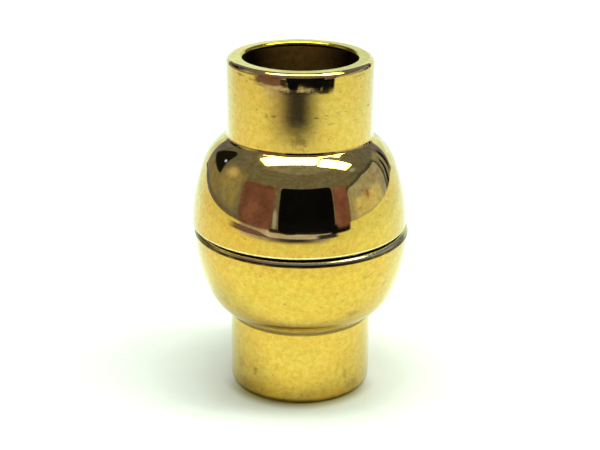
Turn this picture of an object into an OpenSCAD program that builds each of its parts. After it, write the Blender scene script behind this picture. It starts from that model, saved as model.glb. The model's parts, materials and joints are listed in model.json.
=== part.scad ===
// Magnetic ball clasp for a 6 mm cord, closed and standing on its lower tube.
// Millimetres, +Z up. The origin is the centre of the base.
// Each half is a cord tube and half a ball in one turned piece, with a disc magnet in its seam face.

/* [Ball] */
// Diameter of the ball at its middle
ball_d = 11.95; // [11.4:0.05:14]
// Height of each half of the ball, from the middle of the seam to the crease at the tube
dome_h = 5.1; // [4.6:0.05:5.6]
// Height above the seam at which the ball's gentle side turns into its rounder shoulder
side_h = 3.62; // [3:0.02:4]
// How far the side has drawn in at that height
side_draw = 0.7; // [0.5:0.02:0.9]

/* [Cord tubes] */
// Outer diameter of each cord tube
tube_d = 7.95; // [7.4:0.05:9]
// Length of each cord tube beyond the ball
tube_l = 4.35; // [3:0.05:8]
// Diameter of each cord hole
bore_d = 6.2; // [5:0.05:6.6]
// Depth of each cord hole
bore_depth = 6; // [4:0.1:6.6]

/* [Edges] */
// Rounding of the outer edge at the end of each tube
rim_round = 0.3; // [0.1:0.01:0.4]
// Rounding of the mouth of each cord hole
mouth_round = 0.16; // [0.05:0.01:0.25]
// Hollow rounding of the crease between the ball and each tube
crease_round = 0.28; // [0.1:0.01:0.5]
// Rounding of the upper half's edge at the seam
upper_seam_round = 0.15; // [0.05:0.01:0.3]
// Rounding of the lower half's edge at the seam
lower_seam_round = 0.3; // [0.05:0.01:0.4]
// Rounding of each magnet's edges
magnet_round = 0.15; // [0.05:0.01:0.3]

/* [Seam and magnets] */
// Gap between the two shells when the magnets touch
seam_gap = 0.12; // [0.05:0.01:0.2]
// How far the upper half sits to the side of the lower one
seat_offset = 0.12; // [0:0.01:0.2]
// Diameter of each magnet
magnet_d = 9; // [7:0.1:9.4]
// Thickness of each magnet
magnet_t = 2; // [1.5:0.1:2.4]
// How far the lower magnet stands out of its shell
key_h = 0.5; // [0.3:0.05:0.8]
// Room all round the lower magnet in the upper shell's recess
key_clearance = 0.25; // [0.22:0.01:0.4]
// Room for glue round and behind each magnet
glue_gap = 0.05; // [0.02:0.01:0.1]

/* [Hidden] */

$fn = 128;

// The halves share one outline, drawn as radius and height above the middle of the seam.
half_h = dome_h + tube_l;
ball_r = ball_d / 2;
tube_r = tube_d / 2;
bore_r = bore_d / 2;
magnet_r = magnet_d / 2;
face_h = seam_gap / 2;

// The side is an arc that stands upright at the seam and passes through the blend point.
blend = [ball_r - side_draw, side_h];
side_curve_r = (side_draw ^ 2 + side_h ^ 2) / (2 * side_draw);
side_c = [ball_r - side_curve_r, 0];
outward = (blend - side_c) / side_curve_r;

// The shoulder is an arc that leaves the side smoothly there and ends in the crease at the tube.
crease = [tube_r, dome_h];
from_crease = blend - crease;
shoulder_curve_r = from_crease * from_crease / (2 * from_crease * outward);

// Two curves that run into each other smoothly are set this far over each other, because curves
// that only touch leave a hair-thin face between them.
crossing = 0.001;
shoulder_c = blend - (shoulder_curve_r - crossing) * outward;

// The hollow in the crease is an arc that touches the tube and the shoulder.
hollow_reach = shoulder_curve_r + crease_round - crossing;
hollow_run = tube_r + crease_round - crossing - shoulder_c.x;
hollow_c = shoulder_c + [hollow_run, sqrt(hollow_reach ^ 2 - hollow_run ^ 2)];

// The line between the two curves, from the axis to the height of the crease
blend_slope = outward.y / outward.x;
blend_low = [0, -side_c.x * blend_slope];
blend_high = [side_c.x + dome_h / blend_slope, dome_h];

// Depths of the pockets behind each seam face
recess_depth = key_h - seam_gap;
lower_pocket = magnet_t - key_h + glue_gap;
upper_pocket = recess_depth + magnet_t + glue_gap;
pocket_r = magnet_r + glue_gap;
recess_r = magnet_r + key_clearance;

// Overlap of cuts past the faces that they start from
over = 1;

// The side of the ball, up to the line where the shoulder starts
module side_outline() {
  intersection() {
    translate(side_c) circle(r = side_curve_r);
    polygon([[0, 0], [blend_high.x, 0], blend_high, blend_low]);
  }
}

// The shoulder of the ball, which runs on inside the tube
module shoulder_outline() {
  intersection() {
    translate(shoulder_c) circle(r = shoulder_curve_r);
    square([ball_r, half_h]);
  }
}

// What fills the crease between the tube and the shoulder, as far as the hollow
module crease_fill() {
  towards_shoulder = (shoulder_c - hollow_c) / hollow_reach;
  difference() {
    polygon([
      hollow_c,
      [tube_r - over, hollow_c.y],
      hollow_c + (crease_round + over) * towards_shoulder
    ]);
    translate(hollow_c) circle(r = crease_round);
  }
}

// What a rounding removes from a corner between two straight edges, opening towards +X and +Y
module corner_cut(r) {
  difference() {
    square([r + over, r + over]);
    circle(r = r);
  }
}

// What a rounding removes from the edge where the side of the ball meets the seam face
module seam_cut(r) {
  centre_h = face_h + r;
  centre_run = sqrt((side_curve_r - r) ^ 2 - centre_h ^ 2);
  centre_r = side_c.x + centre_run + crossing;
  difference() {
    polygon([
      [centre_r, centre_h],
      [centre_r, face_h - over],
      [centre_r + over, face_h - over],
      [centre_r + over, centre_h + over * centre_h / centre_run]
    ]);
    translate([centre_r, centre_h]) circle(r = r);
  }
}

// Section of one half, without its hole and pocket
module half_outline(seam_round) {
  difference() {
    union() {
      side_outline();
      shoulder_outline();
      crease_fill();
      square([tube_r, half_h]);
    }
    translate([0, face_h - over]) square([2 * ball_r, over]);
    translate([tube_r - rim_round, half_h - rim_round]) corner_cut(rim_round);
    seam_cut(seam_round);
  }
}

// Section of the cord hole, with its rounded mouth
module bore_outline() {
  translate([0, half_h - bore_depth]) square([bore_r, bore_depth + over]);
  difference() {
    translate([0, half_h - mouth_round]) square([bore_r + mouth_round, mouth_round + over]);
    translate([bore_r + mouth_round, half_h - mouth_round]) circle(r = mouth_round);
  }
}

// Section of one shell, seam face down, with a pocket of the given depth for its magnet
module shell_outline(seam_round, pocket_depth) {
  difference() {
    half_outline(seam_round);
    bore_outline();
    translate([0, face_h - over]) square([pocket_r, pocket_depth + over]);
  }
}

// One magnet, a disc with rounded edges that stands on the plane z = 0
module magnet() {
  rotate_extrude() difference() {
    square([magnet_r, magnet_t]);
    translate([magnet_r - magnet_round, magnet_t - magnet_round]) corner_cut(magnet_round);
    translate([magnet_r - magnet_round, magnet_round]) mirror([0, 1]) corner_cut(magnet_round);
  }
}

// Places a half, drawn seam face down: the lower one is turned over
module place_lower() {
  translate([seat_offset / 2, 0, half_h]) mirror([0, 0, 1]) children();
}

module place_upper() {
  translate([-seat_offset / 2, 0, half_h]) children();
}

module lower_shell() {
  color([0.86, 0.72, 0.30]) place_lower() rotate_extrude()
    shell_outline(lower_seam_round, lower_pocket);
}

module upper_shell() {
  color([0.88, 0.76, 0.36]) place_upper() rotate_extrude() difference() {
    shell_outline(upper_seam_round, upper_pocket);
    translate([0, face_h - over]) square([recess_r, recess_depth + over]);
  }
}

module lower_magnet() {
  color([0.75, 0.75, 0.76]) place_lower() translate([0, 0, face_h - key_h]) magnet();
}

module upper_magnet() {
  color([0.75, 0.75, 0.76]) place_upper() translate([0, 0, face_h + recess_depth]) magnet();
}

lower_shell();
lower_magnet();
upper_shell();
upper_magnet();
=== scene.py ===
"""Looks of a closed magnetic ball clasp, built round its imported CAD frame.

Two gold-plated turned shells meet at the middle of a ball, each with a nickel-plated disc magnet
in its seam face. Every piece is turned again here, at high resolution and with exact normals,
from the outline of the CAD part. What the metal mirrors is built from plain glowing cards.
"""
import json
import math

import bpy
from mathutils import Matrix, Vector


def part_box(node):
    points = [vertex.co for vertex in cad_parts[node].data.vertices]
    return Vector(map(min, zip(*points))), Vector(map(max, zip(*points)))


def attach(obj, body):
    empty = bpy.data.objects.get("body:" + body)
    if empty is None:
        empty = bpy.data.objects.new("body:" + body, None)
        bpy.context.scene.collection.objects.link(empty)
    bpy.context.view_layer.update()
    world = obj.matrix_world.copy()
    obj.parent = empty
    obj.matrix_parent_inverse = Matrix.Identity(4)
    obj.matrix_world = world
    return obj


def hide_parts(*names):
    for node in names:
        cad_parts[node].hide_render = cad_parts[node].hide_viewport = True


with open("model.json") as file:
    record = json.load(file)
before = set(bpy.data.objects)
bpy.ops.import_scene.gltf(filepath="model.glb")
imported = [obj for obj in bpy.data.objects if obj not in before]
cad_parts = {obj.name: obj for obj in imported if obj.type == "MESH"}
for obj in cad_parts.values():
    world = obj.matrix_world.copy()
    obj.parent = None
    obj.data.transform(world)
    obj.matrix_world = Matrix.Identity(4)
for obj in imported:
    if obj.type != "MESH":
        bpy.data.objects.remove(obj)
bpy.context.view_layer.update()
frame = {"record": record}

# Sizes, in metres. What the frame knows comes from it, and the rest repeats the part's outline.
MM = 0.001
lower_low, lower_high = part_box("lower_shell")
upper_low, upper_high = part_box("upper_shell")
mounts = {mount["name"]: mount for mount in frame["record"]["mounts"]}

half_h = upper_high.z / 2
face_h = upper_low.z - half_h
ball_r = (upper_high.y - upper_low.y) / 2
bore_r = mounts["upper_cord_hole"]["dims"]["r_mm"] * MM
lower_axis_x = (lower_low.x + lower_high.x) / 2
upper_axis_x = (upper_low.x + upper_high.x) / 2

DOME_H = 5.1 * MM
SIDE_H = 3.62 * MM
SIDE_DRAW = 0.7 * MM
TUBE_R = 7.95 / 2 * MM
BORE_DEPTH = 6 * MM
RIM_ROUND = 0.3 * MM
MOUTH_ROUND = 0.16 * MM
CREASE_ROUND = 0.28 * MM
UPPER_SEAM_ROUND = 0.15 * MM
LOWER_SEAM_ROUND = 0.3 * MM
MAGNET_R = 9 / 2 * MM
MAGNET_T = 2 * MM
MAGNET_ROUND = 0.15 * MM
KEY_H = 0.5 * MM
KEY_CLEARANCE = 0.25 * MM
GLUE_GAP = 0.05 * MM

# How finely the pieces are turned: segments round the axis, degrees of a step along the side and
# the shoulder of the ball, and steps along each small round and along the walls of tube and hole
SEGMENTS = 360
SIDE_STEP = 0.75
SHOULDER_STEP = 1.5
FILLET_STEPS = 14
WALL_STEPS = 8
QUARTER = math.pi / 2


def line_run(start, end, steps, finish):
    """A straight stretch of an outline: points of radius and height, and the normal on its right."""
    start, end = Vector(start), Vector(end)
    along = (end - start).normalized()
    normal = Vector((along.y, -along.x))
    points = [(start.lerp(end, step / steps), normal) for step in range(steps + 1)]
    return {"points": points, "finish": finish}


def arc_run(centre, radius, start, end, steps, finish):
    """A round stretch of an outline between two normals, given as angles in radians.

    The radius of a hollow round is negative.
    """
    points = []
    for step in range(steps + 1):
        angle = start + (end - start) * step / steps
        normal = Vector((math.cos(angle), math.sin(angle)))
        points.append((Vector(centre) + radius * normal, normal))
    return {"points": points, "finish": finish}


def circle(radius, height, steps, axis_x=0):
    """Evenly spaced points on a level circle."""
    turns = [2 * math.pi * k / steps for k in range(steps)]
    return [(axis_x + radius * math.cos(turn), radius * math.sin(turn), height) for turn in turns]


def mesh_piece(name, vertices, faces, materials):
    """An object in the scene, made from points, faces and materials."""
    mesh = bpy.data.meshes.new(name)
    mesh.from_pydata(vertices, [], faces)
    for material in materials:
        mesh.materials.append(material)
    piece = bpy.data.objects.new(name, mesh)
    bpy.context.scene.collection.objects.link(piece)
    return piece


def turned_corners(last, here, k, normal_a, normal_b):
    """The corners of one face between two rings, each as a vertex, a turn in segments and a normal."""
    after = (k + 1) % SEGMENTS
    if len(last) == 1:
        return [(last[0], k + 0.5, normal_a), (here[after], k + 1, normal_b), (here[k], k, normal_b)]
    if len(here) == 1:
        return [(last[k], k, normal_a), (last[after], k + 1, normal_a), (here[0], k + 0.5, normal_b)]
    return [(last[k], k, normal_a), (last[after], k + 1, normal_a),
            (here[after], k + 1, normal_b), (here[k], k, normal_b)]


def turned_mesh(name, runs, axis_x, materials, turned_over):
    """Turns an outline round a vertical axis into one closed mesh.

    The outline starts and ends on the axis, with the metal on its left. Neighbouring runs share
    their end point. A turned over piece hangs down from the seam instead of standing on it.
    """
    up = -1 if turned_over else 1
    vertices, faces, normals, finishes = [], [], [], []

    def add_ring(point):
        first = len(vertices)
        height = half_h + up * point.y
        on_axis = point.x < 1e-9
        vertices.extend([(axis_x, 0, height)] if on_axis else circle(point.x, height, SEGMENTS, axis_x))
        return range(first, len(vertices))

    def add_face(corners, finish):
        if turned_over:
            corners = corners[::-1]
        faces.append([vertex for vertex, turn, normal in corners])
        for vertex, turn, normal in corners:
            angle = 2 * math.pi * turn / SEGMENTS
            normals.append((normal.x * math.cos(angle), normal.x * math.sin(angle), up * normal.y))
        finishes.append(finish)

    last = add_ring(runs[0]["points"][0][0])
    for run in runs:
        for (_, normal_a), (point_b, normal_b) in zip(run["points"], run["points"][1:]):
            here = add_ring(point_b)
            for k in range(SEGMENTS):
                add_face(turned_corners(last, here, k, normal_a, normal_b), run["finish"])
            last = here

    piece = mesh_piece(name, vertices, faces, materials.values())
    mesh = piece.data
    order = list(materials)
    mesh.polygons.foreach_set("material_index", [order.index(finish) for finish in finishes])
    mesh.polygons.foreach_set("use_smooth", [True] * len(faces))
    mesh.normals_split_custom_set(normals)
    mesh.update()
    return piece


def pocket_outline(depth, recess_r=0, recess_depth=0):
    """The pocket for a magnet in the seam face, from the axis outwards, perhaps behind a recess."""
    pocket_r = MAGNET_R + GLUE_GAP
    floor_h = face_h + depth
    recess_h = face_h + recess_depth
    runs = [
        line_run((0, floor_h), (pocket_r, floor_h), 2, "seat"),
        line_run((pocket_r, floor_h), (pocket_r, recess_h), 1, "seat"),
    ]
    if recess_depth:
        runs.append(line_run((pocket_r, recess_h), (recess_r, recess_h), 1, "seat"))
        runs.append(line_run((recess_r, recess_h), (recess_r, face_h), 1, "seat"))
    return runs


def outer_outline(face_start, seam_round, seam_finish, crease_finish):
    """The outside of a shell: its seam face from this radius on, the ball, the crease and the tube."""
    side_curve_r = (SIDE_DRAW ** 2 + SIDE_H ** 2) / (2 * SIDE_DRAW)
    side_c = Vector((ball_r - side_curve_r, 0))
    blend = Vector((ball_r - SIDE_DRAW, SIDE_H))
    outward = (blend - side_c) / side_curve_r
    blend_angle = math.atan2(outward.y, outward.x)

    crease = Vector((TUBE_R, DOME_H))
    from_crease = blend - crease
    shoulder_curve_r = from_crease.length_squared / (2 * from_crease.dot(outward))
    shoulder_c = blend - shoulder_curve_r * outward

    # The crease is a small hollow round that touches the tube and the shoulder.
    hollow_x = TUBE_R + CREASE_ROUND
    hollow_run = math.sqrt((shoulder_curve_r + CREASE_ROUND) ** 2 - (hollow_x - shoulder_c.x) ** 2)
    hollow_c = Vector((hollow_x, shoulder_c.y + hollow_run))
    hollow_angle = math.atan2(hollow_run, hollow_x - shoulder_c.x)

    seam_h = face_h + seam_round
    seam_c = Vector((side_c.x + math.sqrt((side_curve_r - seam_round) ** 2 - seam_h ** 2), seam_h))
    seam_angle = math.atan2(seam_c.y - side_c.y, seam_c.x - side_c.x)

    side_steps = math.ceil(math.degrees(blend_angle - seam_angle) / SIDE_STEP)
    shoulder_steps = math.ceil(math.degrees(hollow_angle - blend_angle) / SHOULDER_STEP)
    return [
        line_run((face_start, face_h), (seam_c.x, face_h), 2, "seat"),
        arc_run(seam_c, seam_round, -QUARTER, seam_angle, FILLET_STEPS, seam_finish),
        arc_run(side_c, side_curve_r, seam_angle, blend_angle, side_steps, "ball"),
        arc_run(shoulder_c, shoulder_curve_r, blend_angle, hollow_angle, shoulder_steps, "ball"),
        arc_run(hollow_c, -CREASE_ROUND, hollow_angle, 0, FILLET_STEPS, crease_finish),
        line_run((TUBE_R, hollow_c.y), (TUBE_R, half_h - RIM_ROUND), WALL_STEPS, "tube"),
    ]


def hole_outline():
    """The end of a tube and its cord hole: the outer rounding, flat rim, mouth, wall and floor."""
    rim_c = (TUBE_R - RIM_ROUND, half_h - RIM_ROUND)
    mouth_c = (bore_r + MOUTH_ROUND, half_h - MOUTH_ROUND)
    floor_h = half_h - BORE_DEPTH
    return [
        arc_run(rim_c, RIM_ROUND, 0, QUARTER, FILLET_STEPS, "tube"),
        line_run((rim_c[0], half_h), (mouth_c[0], half_h), 2, "rim"),
        arc_run(mouth_c, MOUTH_ROUND, QUARTER, 2 * QUARTER, FILLET_STEPS, "rim"),
        line_run((bore_r, mouth_c[1]), (bore_r, floor_h), WALL_STEPS, "bore"),
        # The floor of the cord hole takes the dark seat gold, as painted shade at the bottom of the hole
        line_run((bore_r, floor_h), (0, floor_h), 4, "seat"),
    ]


def shell_outline(pocket, seam_round, seam_finish, crease_finish):
    """Outline of one shell, drawn as radius and height over the middle of the seam."""
    face_start = pocket[-1]["points"][-1][0].x
    return pocket + outer_outline(face_start, seam_round, seam_finish, crease_finish) + hole_outline()


def magnet_outline(foot):
    """Outline of a disc magnet whose flat underside lies at this height over the seam."""
    flat_r = MAGNET_R - MAGNET_ROUND
    low, high = foot + MAGNET_ROUND, foot + MAGNET_T - MAGNET_ROUND
    return [
        line_run((0, foot), (flat_r, foot), 3, "magnet"),
        arc_run((flat_r, low), MAGNET_ROUND, -QUARTER, 0, FILLET_STEPS, "magnet"),
        line_run((MAGNET_R, low), (MAGNET_R, high), 2, "magnet"),
        arc_run((flat_r, high), MAGNET_ROUND, 0, QUARTER, FILLET_STEPS, "magnet"),
        line_run((flat_r, foot + MAGNET_T), (0, foot + MAGNET_T), 3, "magnet"),
    ]


def add_node(tree, kind, inputs=None, **settings):
    """Adds a shader node. Its inputs are values or the outputs of other nodes, by name or number."""
    made = tree.nodes.new("ShaderNode" + kind)
    for name, value in settings.items():
        setattr(made, name, value)
    for socket, value in (inputs or {}).items():
        if isinstance(value, bpy.types.NodeSocket):
            tree.links.new(value, made.inputs[socket])
        else:
            made.inputs[socket].default_value = value
    return made


def calculate(tree, operation, *values):
    """The output of a Math node."""
    return add_node(tree, "Math", dict(enumerate(values)), operation=operation).outputs[0]


def product(tree, *values):
    """The product of several values."""
    total = values[0]
    for value in values[1:]:
        total = calculate(tree, "MULTIPLY", total, value)
    return total


def largest(tree, values):
    """The largest of several values."""
    total = values[0]
    for value in values[1:]:
        total = calculate(tree, "MAXIMUM", total, value)
    return total


def ramp(tree, value, low, high, from_value=0.0, to_value=1.0):
    """Smoothly turns a value between two limits into another range."""
    return add_node(tree, "MapRange", {0: value, 1: low, 2: high, 3: from_value, 4: to_value},
                    interpolation_type="SMOOTHSTEP").outputs[0]


def band(tree, value, rise, fall):
    """1 between a rise and a fall, each given as the two values between which it happens."""
    return product(tree, ramp(tree, value, *rise), ramp(tree, value, fall[1], fall[0]))


def cells(tree, coordinates, around, along=None):
    """Coordinates in cells a number of millimetres wide, round the axis and along it."""
    scale = (1 / (around * MM), 1 / (around * MM), 1 / ((along or around) * MM))
    return add_node(tree, "Mapping", {"Vector": coordinates, "Scale": scale}).outputs[0]


def noise(tree, coordinates, detail=3.0, roughness=0.5):
    """Noise from about 0.3 to 0.7, in the cells of its coordinates."""
    return add_node(tree, "TexNoise", {"Vector": coordinates, "Scale": 1.0, "Detail": detail,
                                       "Roughness": roughness}).outputs[0]


def blend_colours(tree, factor, colour_a, colour_b):
    """The mix of two colours."""
    colours = [colour if isinstance(colour, bpy.types.NodeSocket) else (*colour, 1)
               for colour in (colour_a, colour_b)]
    return add_node(tree, "Mix", {0: factor, 6: colours[0], 7: colours[1]},
                    data_type="RGBA").outputs[2]


def new_tree(name):
    """A material with an empty node tree, the tree, and the place on the object that it shades."""
    material = bpy.data.materials.new(name)
    material.use_nodes = True
    tree = material.node_tree
    tree.nodes.clear()
    return material, tree, add_node(tree, "TexCoord").outputs["Object"]


def finish_tree(tree, shader):
    """Ends a node tree with its output."""
    output = add_node(tree, "OutputMaterial")
    tree.links.new(shader, output.inputs[0])


def azimuth_at(tree, place):
    """Azimuth of a place in degrees, 0 at the front and growing towards +X."""
    across = add_node(tree, "SeparateXYZ", {0: place}).outputs
    front = calculate(tree, "MULTIPLY", across[1], -1)
    return calculate(tree, "DEGREES", calculate(tree, "ARCTAN2", across[0], front))


def height_at(tree, place):
    """Height of a place over the floor, in millimetres."""
    return calculate(tree, "DIVIDE", add_node(tree, "SeparateXYZ", {0: place}).outputs[2], MM)


def flat_reach(tree, place):
    """Distance of a place from the middle of the stage, seen from above, in millimetres."""
    across = add_node(tree, "SeparateXYZ", {0: place}).outputs
    flat_place = add_node(tree, "CombineXYZ", {0: across[0], 1: across[1], 2: 0}).outputs[0]
    reach = add_node(tree, "VectorMath", {0: flat_place}, operation="LENGTH").outputs["Value"]
    return calculate(tree, "DIVIDE", reach, MM)


# The clear lacquer: the share of the plating that it covers, its roughness, its index of refraction
# and what it mirrors straight ahead
LACQUER = 0.6
LACQUER_GLOSS = 0.02
LACQUER_IOR = 1.5
LACQUER_MIRROR = ((LACQUER_IOR - 1) / (LACQUER_IOR + 1)) ** 2

# What the clouds and the grain of the plating make of its red, green and blue
REDDER = (1.0, 0.95, 0.92)
PALER = (0.98, 1.02, 1.15)
DARK_GRAIN = (0.86, 0.84, 0.45)
PALE_GRAIN = (1.12, 1.14, 1.60)
GLANCING_TINT = (0.92, 1.0, 0.90, 1)
CLOUD_EDGE = (0.42, 0.68)

# Brown of stains and specks, and of the spots painted as shade and as dark reflection
TARNISH_AND_SHADE = (0.13, 0.065, 0.018)
# Grime mixed with painted shade, for the lower crease
GRIME_AND_SHADE = (0.56, 0.41, 0.12)
# Black of painted shade, under the lower seam edge and in the cord holes
SHADE_BLACK = (0.020, 0.008, 0.002)
# Pale grey gold of a painted reflection line on the lower seam edge
GLINT_PALE = (0.56, 0.47, 0.20)

# Azimuth and height of each spot, its half width in degrees and half height in mm, its strength
# On the ball the two wide spots low on the left front, at 4.84 and 4.90 mm over the lower crease, are
# partly painted shade; the rest are stains
BALL_SPOTS = [
    (33, 5.85, 7, 0.26, 0.42), (-32, 4.84, 15, 0.20, 0.60), (-14, 4.90, 9, 0.14, 0.42),
    (-49, 6.15, 5, 0.25, 0.22), (-38, 5.84, 6, 0.20, 0.20), (47, 7.92, 4, 0.20, 0.25),
    (-8, 6.85, 1.2, 0.09, 0.4), (12, 6.6, 1.1, 0.08, 0.35), (24, 6.9, 1.4, 0.08, 0.35),
    (36, 8.2, 5, 0.25, 0.25), (52, 7.2, 3, 0.22, 0.25),
]
# On the tubes the three spots just under the rim, near 18.4 mm, are a painted dark reflection, and the
# three wide spots at the foot, near 0.6 mm, are partly painted shade; the rest are scratches and stains
TUBE_SPOTS = [
    (-27, 16.60, 2.0, 0.16, 0.40), (-20, 16.62, 3.0, 0.13, 0.60), (-8, 16.62, 4.0, 0.08, 0.70),
    (-2, 16.38, 4.5, 0.07, 0.75), (12, 16.58, 3.0, 0.06, 0.70), (19, 16.68, 2.5, 0.05, 0.40),
    (29, 16.78, 5.0, 0.05, 0.35), (36, 16.76, 3.0, 0.05, 0.40), (24, 16.20, 4.0, 0.05, 0.35),
    (31, 16.12, 3.0, 0.05, 0.30), (46, 16.18, 4.0, 0.05, 0.30), (64, 16.68, 4.0, 0.09, 0.65),
    (-1, 15.62, 6.0, 0.08, 0.50), (-16, 15.72, 4.0, 0.05, 0.30), (-38, 1.62, 2.5, 0.30, 0.50),
    (-50, 0.60, 17, 0.55, 0.50), (-56, 1.70, 6, 0.70, 0.30), (-18, 2.20, 2.0, 0.35, 0.22),
    (-52, 18.48, 13, 0.10, 0.60), (-41, 18.38, 8, 0.06, 0.40), (52, 18.50, 13, 0.06, 0.35),
    (-2, 15.30, 8, 0.60, 0.50), (40, 1.50, 3, 0.40, 0.30), (48, 0.65, 13, 0.45, 0.42),
    (8, 0.62, 22, 0.25, 0.25),
]

# Heights in millimetres: the lower crease, the lower shell's seam edge and the upper end. Grime mixed
# with painted shade, a painted black shade line and a painted pale line lie at a distance from them.
crease_mm = (half_h - DOME_H) / MM
lip_mm = (half_h - face_h) / MM
top_mm = upper_high.z / MM
GRIME_SHADE_RISE = (crease_mm - 0.55, crease_mm - 0.20)
GRIME_SHADE_FALL = (crease_mm + 0.30, crease_mm + 0.65)
BLACK_RISE = (lip_mm - 0.42, lip_mm - 0.35)
BLACK_FALL = (lip_mm - 0.19, lip_mm - 0.15)
GLINT_RISE = (lip_mm - 0.18, lip_mm - 0.14)
MOUTH_SHADE = (top_mm - 0.30, top_mm - 0.22)
# Heights in millimetres between which the tubes turn darker and browner towards the foot, partly painted
# shade
FOOT_DARK_TOP = 1.6
FOOT_DARK_END = 0.1


def marks(tree, place, spots):
    """The share of the spots in a list, with uneven outlines: stains, and some painted shade."""
    uneven = noise(tree, cells(tree, place, 0.3, 0.2), detail=3, roughness=0.65)
    flat_place = add_node(tree, "CombineXYZ", {0: azimuth_at(tree, place), 1: height_at(tree, place),
                                               2: 0}).outputs[0]
    shares = []
    for spot_azimuth, spot_height, half_width, half_height, strength in spots:
        scale = (1 / half_width, 1 / half_height, 1)
        centre = (-spot_azimuth / half_width, -spot_height / half_height, 0)
        scaled = add_node(tree, "Mapping", {"Vector": flat_place, "Location": centre, "Scale": scale})
        reach = add_node(tree, "VectorMath", {0: scaled.outputs[0]}, operation="LENGTH").outputs["Value"]
        reach = calculate(tree, "ADD", reach, calculate(tree, "MULTIPLY_ADD", uneven, 2.4, -1.2))
        shares.append(product(tree, ramp(tree, reach, 1.0, 0.2), strength))
    return largest(tree, shares)


def metal(name, colour, gloss, spread, ripple=0.0, turning=0.0, coat=LACQUER, layers=()):
    """A lacquered plated metal: a fine grain, slow clouds of redder and paler plating, uneven gloss.

    gloss and spread are the lowest roughness and how far it rises. ripple and turning are the depths
    of the slow waves and of the turning lines, in metres. coat is the share that the clear lacquer
    covers. Each layer has the maker of its share, its colour and the roughness that it adds.
    """
    material, tree, place = new_tree(name)
    grain = noise(tree, cells(tree, place, 0.30, 0.26), detail=3, roughness=0.8)
    red_cloud = noise(tree, cells(tree, place, 1.5, 1.1), detail=2)
    pale_cloud = noise(tree, cells(tree, place, 2.3, 1.7), detail=2)
    lines = noise(tree, cells(tree, place, 1.6, 0.05), detail=3, roughness=0.6)
    waves = noise(tree, cells(tree, place, 1.4, 0.8), detail=2)

    redder = [share * value for share, value in zip(REDDER, colour)]
    paler = [min(share * value, 1) for share, value in zip(PALER, colour)]
    tone = blend_colours(tree, ramp(tree, red_cloud, *CLOUD_EDGE), colour, redder)
    tone = blend_colours(tree, ramp(tree, pale_cloud, *CLOUD_EDGE), tone, paler)
    dark_grain, pale_grain = [
        add_node(tree, "VectorMath", {0: tone, 1: shares}, operation="MULTIPLY").outputs[0]
        for shares in (DARK_GRAIN, PALE_GRAIN)
    ]
    tone = blend_colours(tree, ramp(tree, grain, 0.25, 0.75), dark_grain, pale_grain)
    dots = add_node(tree, "TexVoronoi", {"Vector": cells(tree, place, 0.6, 0.5), "Scale": 1.0},
                    feature="F1").outputs["Distance"]
    tone = blend_colours(tree, ramp(tree, dots, 0.16, 0.06, 0.0, 0.35), tone, TARNISH_AND_SHADE)
    roughness = ramp(tree, lines, 0.35, 0.7, gloss, gloss + spread)
    for share_maker, layer_colour, added_roughness in layers:
        share = share_maker(tree, place)
        tone = blend_colours(tree, share, tone, layer_colour)
        roughness = calculate(tree, "ADD", roughness, product(tree, share, added_roughness))

    depth = calculate(tree, "ADD", product(tree, lines, turning), product(tree, waves, ripple))
    bump = add_node(tree, "Bump", {"Height": depth, "Distance": 1.0, "Strength": 1.0}).outputs[0]
    shader = add_node(tree, "BsdfPrincipled", {
        "Base Color": tone, "Metallic": 1.0, "Roughness": roughness, "Normal": bump,
        "Specular Tint": GLANCING_TINT, "Coat Weight": coat, "Coat Roughness": LACQUER_GLOSS,
        "Coat IOR": LACQUER_IOR, "Coat Normal": bump,
    })
    finish_tree(tree, shader.outputs[0])
    return material


def ball_spots(tree, place):
    """The ball's spots."""
    return marks(tree, place, BALL_SPOTS)


def tube_spots(tree, place):
    """The tubes' spots, and a brown darkening towards the foot, partly painted shade."""
    uneven = noise(tree, cells(tree, place, 1.0, 0.7), detail=3)
    foot_darkening = product(tree, ramp(tree, height_at(tree, place), FOOT_DARK_TOP, FOOT_DARK_END),
                   ramp(tree, uneven, 0.35, 0.65, 0.05, 0.35))
    return largest(tree, [marks(tree, place, TUBE_SPOTS), foot_darkening])


def crease_grime_and_shade(tree, place):
    """Dull grime mixed with painted shade in the lower crease, which thins out over the ball."""
    uneven = noise(tree, cells(tree, place, 0.9, 0.5), detail=3)
    strength = ramp(tree, uneven, 0.3, 0.7, 0.60, 0.90)
    return product(tree, strength, band(tree, height_at(tree, place), GRIME_SHADE_RISE, GRIME_SHADE_FALL))


def lip_shade_line(tree, place):
    """A painted black shade line round the lower shell, just under its seam edge."""
    uneven = noise(tree, cells(tree, place, 0.8, 0.8), detail=3)
    strength = ramp(tree, uneven, 0.3, 0.6, 0.70, 0.95)
    return product(tree, strength, band(tree, height_at(tree, place), BLACK_RISE, BLACK_FALL))


def lip_pale_glint(tree, place):
    """A pale line painted on the seam edge of the lower shell as a reflection, less on the left."""
    return product(tree, ramp(tree, height_at(tree, place), *GLINT_RISE),
                   ramp(tree, azimuth_at(tree, place), -50, -5, 0.3, 1.0))


def bore_shade(tree, place):
    """Painted shade in the cord holes: their sides are darker than the back, and so is a line under the
    rim.
    """
    turned_from_front = calculate(tree, "ABSOLUTE", azimuth_at(tree, place))
    from_back = calculate(tree, "SUBTRACT", 180, turned_from_front)
    return largest(tree, [ramp(tree, from_back, 0, 60), ramp(tree, height_at(tree, place), *MOUTH_SHADE)])


GOLD = (0.70, 0.452, 0.038)
TUBE_GOLD = (0.70, 0.456, 0.046)
# A dull gold for the lower crease, darkened as painted shade
SHADED_CREASE_GOLD = (0.34, 0.235, 0.07)
RIM_GOLD = (0.575, 0.385, 0.020)
# A pale gold for the round of the upper seam edge, a painted highlight line
EDGE_GLINT_GOLD = (0.88, 0.80, 0.38)
LIP_GOLD = (0.70, 0.46, 0.062)
BORE_GOLD = (0.60, 0.36, 0.06)
SEAT_GOLD = (0.20, 0.11, 0.025)
NICKEL = (0.62, 0.60, 0.56)

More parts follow.
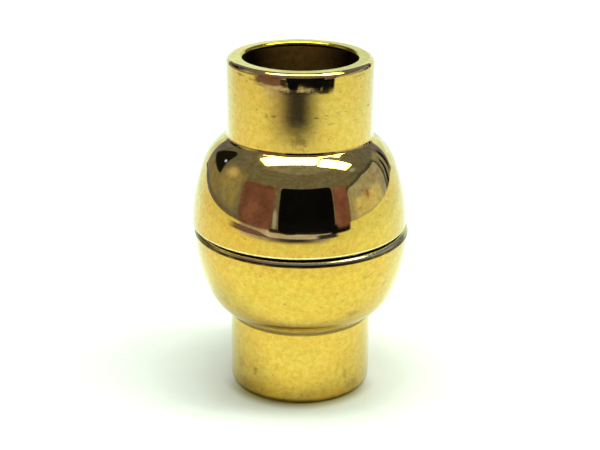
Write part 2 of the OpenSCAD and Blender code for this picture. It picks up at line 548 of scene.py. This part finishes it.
gold_finishes = {
    "ball": metal("ball_gold", GOLD, 0.03, 0.03, ripple=1.0e-6,
                  layers=[(ball_spots, TARNISH_AND_SHADE, 0.15), (crease_grime_and_shade, GRIME_AND_SHADE, 0.85)]),
    "crease": metal("shaded_crease_gold", SHADED_CREASE_GOLD, 0.42, 0.12, ripple=1.0e-6, coat=0.0),
    "tube": metal("tube_gold", TUBE_GOLD, 0.02, 0.02, ripple=1.6e-6, turning=1.0e-7,
                  layers=[(tube_spots, TARNISH_AND_SHADE, 0.15)]),
    "rim": metal("rim_gold", RIM_GOLD, 0.08, 0.08, ripple=3.0e-7, turning=1.0e-7, coat=0.0),
    "edge": metal("edge_glint_gold", EDGE_GLINT_GOLD, 0.12, 0.10, ripple=3.0e-7, coat=0.0),
    # The lower seam round carries a painted black shade line and a painted pale reflection line
    "lip": metal("lip_gold", LIP_GOLD, 0.12, 0.06, ripple=3.0e-7, coat=0.0,
                 layers=[(lip_shade_line, SHADE_BLACK, 0.05), (lip_pale_glint, GLINT_PALE, 0.05)]),
    "bore": metal("bore_gold", BORE_GOLD, 0.35, 0.15, ripple=3.0e-7, turning=4.0e-7, coat=0.0,
                  layers=[(bore_shade, SHADE_BLACK, 0.0)]),
    "seat": metal("seat_gold", SEAT_GOLD, 0.25, 0.12, ripple=3.0e-7, turning=2.0e-7, coat=0.0),
}
nickel_finishes = {
    "magnet": metal("magnet_nickel", NICKEL, 0.16, 0.12, ripple=3.0e-7, turning=1.0e-7, coat=0.0),
}

# The lower magnet stands in a recess of the upper shell, in front of the upper magnet.
recess_depth = KEY_H - 2 * face_h
lower_pocket = pocket_outline(MAGNET_T - KEY_H + GLUE_GAP)
upper_pocket = pocket_outline(recess_depth + MAGNET_T + GLUE_GAP, MAGNET_R + KEY_CLEARANCE,
                              recess_depth)
PIECES = {
    "lower_shell": {
        "body": "lower_half", "slot": "gold_plate", "finishes": gold_finishes,
        "outline": shell_outline(lower_pocket, LOWER_SEAM_ROUND, "lip", "crease"),
    },
    "upper_shell": {
        "body": "upper_half", "slot": "gold_plate", "finishes": gold_finishes,
        "outline": shell_outline(upper_pocket, UPPER_SEAM_ROUND, "edge", "ball"),
    },
    "lower_magnet": {
        "body": "lower_half", "slot": "nickel_plate", "finishes": nickel_finishes,
        "outline": magnet_outline(face_h - KEY_H),
    },
    "upper_magnet": {
        "body": "upper_half", "slot": "nickel_plate", "finishes": nickel_finishes,
        "outline": magnet_outline(face_h + recess_depth),
    },
}

for node, made in PIECES.items():
    is_lower = made["body"] == "lower_half"
    axis_x = lower_axis_x if is_lower else upper_axis_x
    piece = turned_mesh("turned_" + node, made["outline"], axis_x, made["finishes"],
                        turned_over=is_lower)
    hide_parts(node)
    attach(piece, made["body"])


# The camera, fitted to the picture's frame. Angles are in degrees, lens and sensor in millimetres.
CAMERA_PLACE = Vector((0, -69.456, 36.388)) * MM
CAMERA_PITCH = 21.395
CAMERA_ROLL = 0.536
CAMERA_LENS = 79.88
CAMERA_SENSOR = 36

camera_data = bpy.data.cameras.new("camera")
camera_data.sensor_width = CAMERA_SENSOR
camera_data.lens = CAMERA_LENS
camera_data.clip_start = 1 * MM
camera = bpy.data.objects.new("camera", camera_data)
camera.matrix_world = (Matrix.Translation(CAMERA_PLACE)
                       @ Matrix.Rotation(math.radians(90 - CAMERA_PITCH), 4, "X")
                       @ Matrix.Rotation(math.radians(CAMERA_ROLL), 4, "Z"))
bpy.context.scene.collection.objects.link(camera)
bpy.context.scene.camera = camera
bpy.context.scene.view_settings.view_transform = "Standard"


# The stage. Lengths are in metres, azimuth 0 is towards the camera and grows towards +X.
CENTRE = Vector((0, 0, 12 * MM))
STAGE_R = 1.0
ROOM_R = 0.95
FLOOR_STEPS = 96


def towards(azimuth, elevation, distance):
    """The point that lies in this direction from the middle of the clasp, in degrees and metres."""
    a, e = math.radians(azimuth), math.radians(elevation)
    return CENTRE + distance * Vector((math.sin(a) * math.cos(e), -math.cos(a) * math.cos(e),
                                       math.sin(e)))


def mirrored_share(incidence):
    """What the lacquered gold mirrors at this incidence, in radians: red, green and blue."""
    away = (1 - math.cos(incidence)) ** 5
    lacquer = LACQUER * (LACQUER_MIRROR + (1 - LACQUER_MIRROR) * away)
    return [lacquer + (1 - lacquer) * (share + (1 - share) * away) for share in GOLD]


def linear_light(level):
    """The linear light of a screen level of 255, by the upper part of the sRGB curve."""
    return ((level / 255 + 0.055) / 1.055) ** 2.4


def light_seen_in_gold(tone, azimuth, elevation):
    """The light from this direction that looks like a screen tone once the gold has mirrored it."""
    to_light = towards(azimuth, elevation, 1) - CENTRE
    shares = mirrored_share(to_light.angle(CAMERA_PLACE - CENTRE) / 2)
    return [linear_light(level) / share for level, share in zip(tone, shares)]


def finish_glow(tree, light, level=1.0, share=None):
    """Ends a node tree with a glow of this light, which is clear where its share is zero."""
    shader = add_node(tree, "Emission", {"Color": light, "Strength": level}).outputs[0]
    if share is not None:
        clear = add_node(tree, "BsdfTransparent").outputs[0]
        shader = add_node(tree, "MixShader", {0: share, 1: clear, 2: shader}).outputs[0]
    finish_tree(tree, shader)


def emitting(name, colour, strength=1.0, uneven=0.15, mask_maker=None, cell=80):
    """A plain glowing tone, uneven in cells of this many millimetres, clear where its mask is zero."""
    material, tree, place = new_tree(name)
    cloud = noise(tree, cells(tree, place, cell))
    level = ramp(tree, cloud, 0.3, 0.7, (1 - uneven) * strength, (1 + uneven) * strength)
    share = mask_maker(tree, cloud) if mask_maker else None
    finish_glow(tree, (*colour, 1), level, share)
    return material


def rounded_mask(softness, squareness, ragged=0.1):
    """A mask that fades out towards the edges of a card: a squareness of 2 is an oval."""
    def make(tree, cloud):
        across = add_node(tree, "SeparateXYZ", {0: add_node(tree, "UVMap").outputs[0]}).outputs
        powers = []
        for share in across[:2]:
            offset = calculate(tree, "ABSOLUTE", calculate(tree, "MULTIPLY_ADD", share, 2, -1))
            powers.append(calculate(tree, "POWER", offset, squareness))
        reach = calculate(tree, "POWER", calculate(tree, "ADD", *powers), 1 / squareness)
        jitter = calculate(tree, "MULTIPLY_ADD", cloud, ragged, -ragged / 2)
        return ramp(tree, calculate(tree, "ADD", reach, jitter), 1.0, 1.0 - softness)
    return make


def stage_piece(name, vertices, faces, material, seen_by=("glossy",)):
    """A mesh of the stage that only these kinds of ray meet."""
    piece = mesh_piece(name, vertices, faces, [material])
    piece.visible_camera = "camera" in seen_by
    piece.visible_diffuse = "diffuse" in seen_by
    piece.visible_glossy = "glossy" in seen_by
    piece.visible_transmission = False
    piece.visible_volume_scatter = False
    piece.visible_shadow = False
    return piece


def sheet(name, place_of, material, columns=12, rows=12):
    """A sheet of the stage. place_of gives its points from two shares, which are also its UV map."""
    vertices, shares, faces = [], [], []
    for row in range(rows + 1):
        for column in range(columns + 1):
            share = (column / columns, row / rows)
            shares.append(share)
            vertices.append(place_of(*share))
    for row in range(rows):
        for column in range(columns):
            first = row * (columns + 1) + column
            faces.append((first, first + 1, first + columns + 2, first + columns + 1))
    piece = stage_piece(name, vertices, faces, material)
    layer = piece.data.uv_layers.new(name="share")
    for loop in piece.data.loops:
        layer.data[loop.index].uv = shares[loop.vertex_index]


def between(limits, share):
    """The value at this share of the way between two limits."""
    return limits[0] + (limits[1] - limits[0]) * share


def along(line, share):
    """The point at this share of the way along a line through evenly spaced points."""
    way = share * (len(line) - 1)
    step = min(int(way), len(line) - 2)
    return Vector(line[step]).lerp(Vector(line[step + 1]), way - step)


def around_clasp(azimuth, reach, height):
    """The point at this azimuth and height on an upright cylinder round the clasp."""
    turn = math.radians(azimuth)
    return reach * math.sin(turn), -reach * math.cos(turn), height


def card(name, bottom, top, distance, colour, softness, squareness=8):
    """A card that the metal mirrors. Its bottom and top are lines of azimuths and elevations."""
    def place_of(across, up):
        direction = along(bottom, across).lerp(along(top, across), up)
        return towards(direction.x, direction.y, distance)
    sheet(name, place_of, emitting(name, colour, mask_maker=rounded_mask(softness, squareness)))


def upright(azimuths, elevations):
    """Bottom and top of a card with upright sides."""
    (left, right), (low, high) = azimuths, elevations
    return ((left, low), (right, low)), ((left, high), (right, high))


def standing_card(name, reach, azimuths, heights, material):
    """A card that stands upright on a circle round the clasp."""
    def place_of(across, up):
        return around_clasp(between(azimuths, across), reach, between(heights, up))
    sheet(name, place_of, material, columns=24)


def table_ring(name, reach, azimuths, height, material):
    """A flat piece of a ring over the floor, between two distances from the clasp."""
    def place_of(across, outwards):
        return around_clasp(between(azimuths, across), between(reach, outwards), height)
    sheet(name, place_of, material, columns=48)


def dome(name, radius, material, seen_by):
    """A half ball over the stage."""
    columns, rows = 64, 24
    vertices, faces = [], []
    for row in range(rows):
        elevation = QUARTER * row / rows
        vertices += circle(radius * math.cos(elevation), radius * math.sin(elevation), columns)
    vertices.append((0, 0, radius))
    for row in range(rows - 1):
        for column in range(columns):
            after = (column + 1) % columns
            faces.append((row * columns + column, row * columns + after,
                          (row + 1) * columns + after, (row + 1) * columns + column))
    top = (rows - 1) * columns
    faces += [(top + column, top + (column + 1) % columns, rows * columns) for column in range(columns)]
    stage_piece(name, vertices, faces, material, seen_by)


# The paper: its brightness, the share of blue in it, and the warm shadow painted round and right under
# the foot
PAPER_LEVELS = (0.80, 0.82)
PAPER_BLUE = 0.99
FOOT_SHADOW = (0.62, 0.58, 0.34)
FOOT_SHADOW_LINE = (0.40, 0.34, 0.14)


def floor_material():
    """Plain white paper, with a warm contact shadow painted where it runs under the front of the foot."""
    material, tree, place = new_tree("paper")
    level = ramp(tree, noise(tree, cells(tree, place, 2.5)), 0.3, 0.7, *PAPER_LEVELS)
    white = add_node(tree, "CombineColor", {0: level, 1: level, 2: product(tree, level, PAPER_BLUE)})
    reach = flat_reach(tree, place)
    front = band(tree, azimuth_at(tree, place), (-85, -45), (45, 85))
    tone = blend_colours(tree, product(tree, front, ramp(tree, reach, 6.5, 4.2, 0.0, 0.3)),
                         white.outputs[0], FOOT_SHADOW)
    tone = blend_colours(tree, product(tree, front, ramp(tree, reach, 4.75, 3.9)), tone, FOOT_SHADOW_LINE)
    finish_tree(tree, add_node(tree, "BsdfDiffuse", {"Color": tone}).outputs[0])
    return material


floor = stage_piece("floor", circle(STAGE_R, 0, FLOOR_STEPS), [list(range(FLOOR_STEPS))],
                    floor_material(), ("camera", "diffuse", "glossy"))
floor.visible_shadow = True

# Screen tones of what the gold mirrors, in levels of 255
ROOM = (104, 90, 50)
CEILING = (126, 113, 66)
OLIVE_WALL = (136, 113, 50)
WARM_SPOT = (182, 152, 72)
GREY_WALL = (128, 106, 52)
RIGHT_WALL = (152, 135, 76)
RIGHT_EDGE = (72, 65, 38)
FAR_WALL = (132, 119, 68)
LOW_WALL = (192, 164, 76)
RED_SPOT = (170, 95, 40)
POINT = (235, 225, 220)
PANEL = (116, 70, 40)
GAP = (158, 140, 100)
SHADE = (99, 88, 50)
DARK = (22, 18, 6)
BLACK = (9, 8, 4)
# Tones of the shadow painted on sheets over the table
SHADOW_DARK = (14, 12, 18)
BROWN_SHADOW = (101, 68, 36)
FOOT_SHADE = (50, 36, 14)
GREY_SPOT = (150, 144, 92)
FAR_PAPER = (184, 160, 106)

# Light of the paper, the backdrops and the lamps overhead
PAPER = (1.01, 1.17, 1.15)
LEFT_PAPER = (0.97, 1.02, 0.90)
FRONT_PAPER = (0.93, 1.02, 1.00)
LEFT_BACKDROP = (0.92, 1.02, 0.85)
RIGHT_BACKDROP = (1.06, 1.28, 1.25)
PALE_BACKDROP = (1.3, 1.3, 1.3)
LAMP_MIRRORED = 15
BACK_LAMP_MIRRORED = 9
LAMP_COLOUR = (0.86, 1.0, 0.83)
SKY = (0.92, 0.98, 0.95, 1)
SKY_LEVEL = 1.3

dome("pale_backdrop", STAGE_R, emitting("pale_backdrop", PALE_BACKDROP, uneven=0), ("camera",))
room_light = light_seen_in_gold(ROOM, 60, 30)
dome("dim_room", ROOM_R, emitting("dim_room", room_light), ("glossy",))
table_ring("table_end", (0.205, ROOM_R), (-142, 50), 0.5 * MM, emitting("table_end", room_light, 0.9))

# Name, bottom and top, distance, tone, softness of the edge, squareness
CARDS = [
    ("dim_ceiling", *upright((-180, 180), (56, 89)), 0.90, CEILING, 0.30, 8),
    ("grey_wall", *upright((-144, -100), (-4, 22)), 0.74, GREY_WALL, 0.30, 8),
    ("left_shade", ((-150, 10), (-104, 10)), ((-148, 50), (-106, 46)), 0.72, SHADE, 0.40, 5),
    ("left_dark", ((-143, 12), (-103, 9)), ((-130, 42), (-119, 42)), 0.70, DARK, 0.20, 7),
    ("left_point", *upright((-120, -114), (24, 29)), 0.68, POINT, 0.9, 2),
    ("olive_wall", *upright((-110, -66), (-4, 40)), 0.71, OLIVE_WALL, 0.45, 5),
    ("warm_spot", *upright((-106, -80), (14, 38)), 0.69, WARM_SPOT, 0.9, 2),
    ("right_shade", ((48, 14), (145, 24)), ((66, 50), (146, 46)), 0.74, SHADE, 0.35, 5),
    ("right_far_wall", *upright((112, 138), (-2, 32)), 0.735, FAR_WALL, 0.3, 5),
    ("right_edge", ((51, -1.7), (84, -1.7), (119, -2.5)), ((52, 19), (82, 33), (123, 33)), 0.73,
     RIGHT_EDGE, 0.08, 16),
    ("right_far_edge", ((127, -2), (133, -2)), ((136, 28), (144, 24)), 0.71, DARK, 0.6, 5),
    ("right_near_line", ((50.5, -2), (54.5, -2)), ((51.5, 14), (55.5, 16)), 0.72, DARK, 0.5, 6),
    ("right_far_line", ((114, -10), (121.5, -10)), ((127.5, 26), (131.5, 26)), 0.72, DARK, 0.5, 6),
    ("right_wall", ((55, -1), (86, -1), (114, -2)), ((56, 16.5), (86, 28.5), (119, 28)), 0.70,
     RIGHT_WALL, 0.04, 30),
    ("right_low_wall", ((55, -2), (112, -3)), ((55, 13), (108, 9)), 0.69, LOW_WALL, 0.5, 6),
    ("right_spot", *upright((78, 86), (5, 12)), 0.66, RED_SPOT, 0.8, 2),
    ("right_grey_spot", *upright((76, 93), (37, 47)), 0.65, GREY_SPOT, 0.9, 2),
]
for name, bottom, top, distance, tone, softness, squareness in CARDS:
    middle = along(bottom, 0.5).lerp(along(top, 0.5), 0.5)
    card(name, bottom, top, distance, light_seen_in_gold(tone, *middle), softness, squareness)

# The pale backdrops behind the clasp: name, bottom and top, light
BACKDROP_DISTANCE = 0.62
BACKDROPS = [
    ("backdrop_left", ((-206, -2), (-137, -3)), ((-206, 30), (-156, 26)), LEFT_BACKDROP),
    ("backdrop_right", ((131, -3), (206, -2)), ((153, 26), (206, 30)), RIGHT_BACKDROP),
]
for name, bottom, top, light in BACKDROPS:
    card(name, bottom, top, BACKDROP_DISTANCE, light, softness=0.10)

# Name, distance, azimuths and heights in millimetres, tone, unevenness, softness, squareness
NEAR_CARDS = [
    ("left_panel", 41, (-66, -23.5), (7.5, 35), PANEL, 0.30, 0.20, 5),
    ("left_gap", 40, (-26.5, -21.5), (7.8, 20), GAP, 0.10, 0.60, 3),
    ("front_foot", 39.5, (-30, -14), (8.25, 10.2), FOOT_SHADE, 0.15, 0.30, 5),
    ("right_panel", 41, (36, 53), (8.4, 32), PANEL, 0.30, 0.20, 6),
    ("front_block", 39, (-20.5, 35.5), (8.15, 32), BLACK, 0.15, 0.02, 12),
    ("front_corner", 42, (29, 53), (6.9, 11.6), BLACK, 0.15, 0.25, 6),
]
for name, distance, azimuths, heights, tone, uneven, softness, squareness in NEAR_CARDS:
    light = light_seen_in_gold(tone, sum(azimuths) / 2, 0)
    standing_card(name, distance * MM, azimuths, [height * MM for height in heights],
                  emitting(name, light, uneven=uneven, cell=12,
                           mask_maker=rounded_mask(softness, squareness, 0.08)))


# The glows over the table. Azimuths are in degrees, and distances from the clasp in millimetres.
SHADE_CELL = 5.556
SHADE_MOST = 0.95


def shadow_light(tree, azimuth, black_until, brown_from):
    """The light of the shade on the table, black on the right and brown on the left."""
    return blend_colours(tree, ramp(tree, azimuth, black_until, brown_from),
                         light_seen_in_gold(SHADOW_DARK, 0, -8), light_seen_in_gold(BROWN_SHADOW, -45, -8))


def table_shade():
    """Painted shadow on the table in front of the clasp, which only the metal sees: soft, ending in a
    black line.
    """
    material, tree, place = new_tree("table_shade")
    azimuth = azimuth_at(tree, place)
    uneven = noise(tree, cells(tree, place, SHADE_CELL), roughness=0.7)
    ragged = calculate(tree, "MULTIPLY_ADD", uneven, 1.6, -0.8)
    reach = calculate(tree, "ADD", flat_reach(tree, place), ragged)
    soft_shadow = product(tree, SHADE_MOST, band(tree, azimuth, (-64, -6), (0, 42)),
                    ramp(tree, reach, 32.5, 43.5))
    black = product(tree, band(tree, azimuth, (-38, -28), (40, 46)), ramp(tree, reach, 50.6, 51.2))
    share = product(tree, ramp(tree, reach, 52.4, 51.6), largest(tree, [soft_shadow, black]))
    finish_glow(tree, shadow_light(tree, azimuth, -14, -36), share=share)
    return material


def side_shade():
    """The shade farther out on the table: brown on the left, black on the right."""
    material, tree, place = new_tree("side_shade")
    azimuth = azimuth_at(tree, place)
    reach = flat_reach(tree, place)
    past_left_edge = calculate(tree, "SUBTRACT", reach, ramp(tree, azimuth, -26, -48, 60, 100))
    left = product(tree, SHADE_MOST, band(tree, azimuth, (-78, -66), (-23, -17)),
                   ramp(tree, past_left_edge, 1.5, -1.5))
    right = product(tree, SHADE_MOST, band(tree, azimuth, (14, 22), (36, 41)),
                    ramp(tree, reach, 90, 85))
    share = product(tree, ramp(tree, reach, 57.0, 57.7), largest(tree, [left, right]))
    finish_glow(tree, shadow_light(tree, azimuth, 0, -20), share=share)
    return material


def paper_glow():
    """The paper as the metal mirrors it, off the clasp's own shadow: warmer on the left."""
    material, tree, place = new_tree("paper_glow")
    azimuth = azimuth_at(tree, place)
    reach = flat_reach(tree, place)
    cool = largest(tree, [ramp(tree, azimuth, 30, 70), ramp(tree, azimuth, -100, -135)])
    light = blend_colours(tree, cool, FRONT_PAPER, PAPER)
    warm = band(tree, azimuth, (-135, -100), (-55, -30))
    light = blend_colours(tree, warm, light, LEFT_PAPER)
    finish_glow(tree, light, ramp(tree, reach, 75, 48, 1.0, 1.14), ramp(tree, reach, 14, 24))
    return material


table_ring("paper_glow", (14 * MM, 600 * MM), (-180, 180), 0.15 * MM, paper_glow())
table_ring("far_paper", (62 * MM, 206 * MM), (-68, 36), 0.25 * MM,
           emitting("far_paper", light_seen_in_gold(FAR_PAPER, 0, -5),
                    mask_maker=rounded_mask(0.15, 8)))
table_ring("table_shade", (28 * MM, 54 * MM), (-66, 48), 4.6 * MM, table_shade())
table_ring("side_shade", (56 * MM, 104 * MM), (-80, 44), 3.4 * MM, side_shade())

# The lamps overhead: how far each reaches across and back, as shares of its height over the clasp
MAIN_LAMP = ((-0.54, 0.25), (-0.17, 0.19))
RIGHT_LAMP = ((0.25, 0.92), (-0.22, 0.10))
BACK_LAMP = ((0.22, 0.50), (0.24, 0.50))
MIRRORED_HEIGHT = 0.45
LAMP_HEIGHT = 0.5

# What the lamps give out, in watts for each square metre of a lamp
MAIN_LAMP_POWER = 29.6
RIGHT_LAMP_POWER = 38


def ceiling_card(name, x_range, y_range, strength):
    """What the metal mirrors of a lamp overhead."""
    def place_of(across, back):
        return CENTRE + MIRRORED_HEIGHT * Vector((between(x_range, across), between(y_range, back), 1))
    sheet(name, place_of, emitting(name, (1, 1, 1), strength, uneven=0,
                                   mask_maker=rounded_mask(0.06, 10, 0.06)))


def overhead_lamp(x_range, y_range, power):
    """A lamp that lights the floor, which the metal doesn't mirror."""
    width = (x_range[1] - x_range[0]) * LAMP_HEIGHT
    depth = (y_range[1] - y_range[0]) * LAMP_HEIGHT
    light = bpy.data.lights.new("overhead_lamp", "AREA")
    light.shape = "RECTANGLE"
    light.size = width
    light.size_y = depth
    light.color = LAMP_COLOUR
    light.energy = width * depth * power
    lamp = bpy.data.objects.new("overhead_lamp", light)
    lamp.location = CENTRE + Vector((sum(x_range) / 2, sum(y_range) / 2, 1)) * LAMP_HEIGHT
    lamp.visible_camera = False
    lamp.visible_glossy = False
    bpy.context.scene.collection.objects.link(lamp)


def low_sky():
    """The glow of the room round the stage, between the walls and the lamps overhead."""
    world = bpy.data.worlds.new("low_sky")
    world.use_nodes = True
    tree = world.node_tree
    tree.nodes.clear()
    direction = add_node(tree, "TexCoord").outputs["Generated"]
    across = add_node(tree, "SeparateXYZ", {0: direction}).outputs
    level = product(tree, SKY_LEVEL, band(tree, across[2], (0.45, 0.62), (0.80, 0.90)))
    glow = add_node(tree, "Background", {"Color": SKY, "Strength": level})
    output = add_node(tree, "OutputWorld")
    tree.links.new(glow.outputs[0], output.inputs[0])
    bpy.context.scene.world = world


ceiling_card("overhead_glow", *MAIN_LAMP, LAMP_MIRRORED)
ceiling_card("right_glow", *RIGHT_LAMP, LAMP_MIRRORED)
ceiling_card("back_glow", *BACK_LAMP, BACK_LAMP_MIRRORED)
overhead_lamp(*MAIN_LAMP, MAIN_LAMP_POWER)
overhead_lamp(*RIGHT_LAMP, RIGHT_LAMP_POWER)
low_sky()
